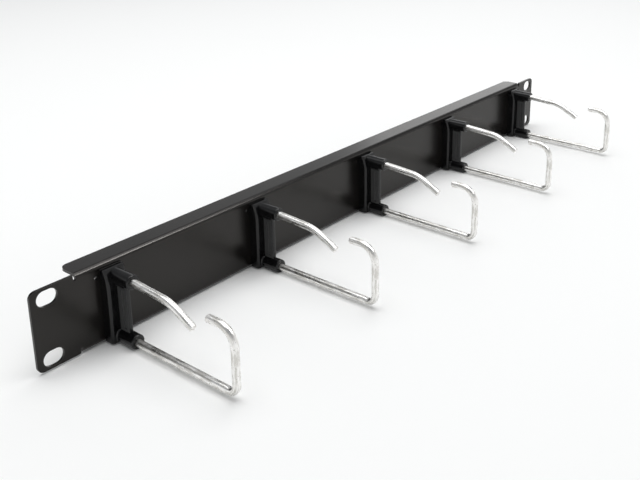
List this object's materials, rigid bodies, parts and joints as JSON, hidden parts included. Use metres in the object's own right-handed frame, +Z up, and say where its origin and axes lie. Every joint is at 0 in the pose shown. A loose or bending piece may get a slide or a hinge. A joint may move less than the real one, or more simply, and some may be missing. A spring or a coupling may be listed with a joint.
{
  "type": "horizontal cable manager",
  "caption": "One-unit-high rack panel of folded sheet steel with moulded holders carrying open wire rings that guide cables along the rack front.",
  "frame": {"origin": "centre of the rack slot pattern on the plane where the ears bear on the rack rails (back of the sheet)", "axes": "+X along the panel to the right as seen from the front, +Y into the rack, +Z up; the rings stand out towards -Y"},
  "size_m": [0.4826, 0.1039, 0.0435],
  "materials": {
    "painted_sheet": "satin black powder coat, fine texture",
    "moulded_plastic": "semi-gloss black moulding",
    "plated_wire": "bright zinc plating with faint drawing lines"
  },
  "bodies": {
    "root": {"panel": "painted_sheet", "holder_1": "moulded_plastic", "holder_2": "moulded_plastic", "holder_3": "moulded_plastic", "holder_4": "moulded_plastic", "holder_5": "moulded_plastic", "ring_1": "plated_wire", "ring_2": "plated_wire", "ring_3": "plated_wire", "ring_4": "plated_wire", "ring_5": "plated_wire"}
  },
  "joints": []
}
